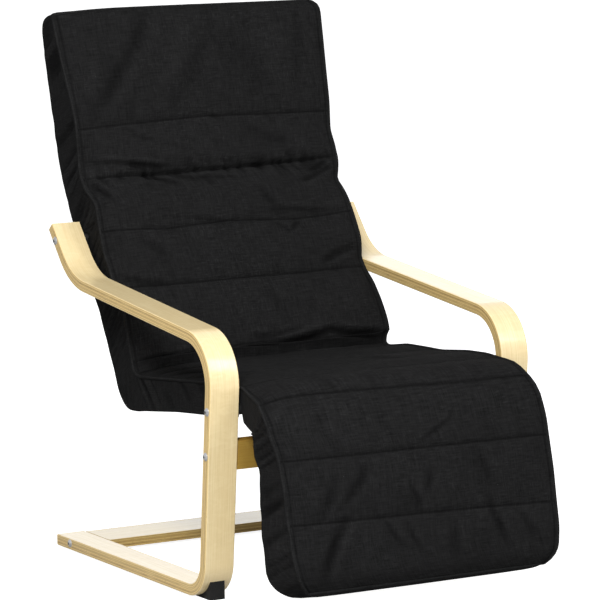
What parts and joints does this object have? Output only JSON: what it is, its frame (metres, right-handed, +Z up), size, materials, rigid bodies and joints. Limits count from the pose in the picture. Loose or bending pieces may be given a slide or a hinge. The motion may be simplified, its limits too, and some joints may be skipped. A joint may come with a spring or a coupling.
{
  "type": "deck recliner",
  "caption": "Bentwood lounge chair with open cantilever side frames, a quilted cushion that bends over the knee and a legrest that ratchets up.",
  "frame": {"origin": "on the floor, under the middle of the chair's width and depth", "axes": "+Z up, the chair faces -Y, the sitter's right hand is at -X"},
  "size_m": [0.6882, 0.984, 1.0518],
  "materials": {
    "birch_ply": "clear satin lacquer over birch veneer, ply lines on the edges",
    "cushion_cloth": "matte black linen weave",
    "sling_cloth": "matte black woven polyester",
    "black_rubber": "matte black rubber",
    "zinc_steel": "bright zinc plating"
  },
  "bodies": {
    "chair": {"side_frame_left": "birch_ply", "side_frame_right": "birch_ply", "rear_stretcher": "birch_ply", "front_crossbar": "birch_ply", "front_foot_left": "black_rubber", "front_foot_right": "black_rubber", "rear_pad_left": "black_rubber", "rear_pad_right": "black_rubber", "seat_back_rail_left": "birch_ply", "seat_back_rail_right": "birch_ply", "seat_front_rail": "birch_ply", "seat_rear_rail": "birch_ply", "back_lower_rail": "birch_ply", "head_rail": "birch_ply", "seat_back_sling": "sling_cloth", "ratchet_drum_left": "zinc_steel", "ratchet_drum_right": "zinc_steel", "hinge_rivets": "zinc_steel", "frame_bolts_short": "zinc_steel", "frame_bolts_long": "zinc_steel", "barrel_nuts": "zinc_steel", "bolt_spacers": "black_rubber", "foot_screws": "zinc_steel", "seat_hinge_screws": "zinc_steel", "cushion_back": "cushion_cloth", "cushion_seat": "cushion_cloth", "cushion_knee": "cushion_cloth"},
    "legrest": {"legrest_rail_left": "birch_ply", "legrest_rail_right": "birch_ply", "legrest_top_rail": "birch_ply", "legrest_foot_rail": "birch_ply", "legrest_sling": "sling_cloth", "ratchet_arm_left": "zinc_steel", "ratchet_arm_right": "zinc_steel", "ratchet_pawls": "zinc_steel", "legrest_hinge_screws": "zinc_steel", "cushion_legrest": "cushion_cloth"}
  },
  "joints": [
    {"name": "legrest_hinge", "type": "hinge", "parent": "chair", "child": "legrest", "pos_m": [0, -0.36499, 0.33338], "axis": [-1, 0, 0], "range_deg": [0, 82], "deforming": ["cushion_knee"]}
  ]
}
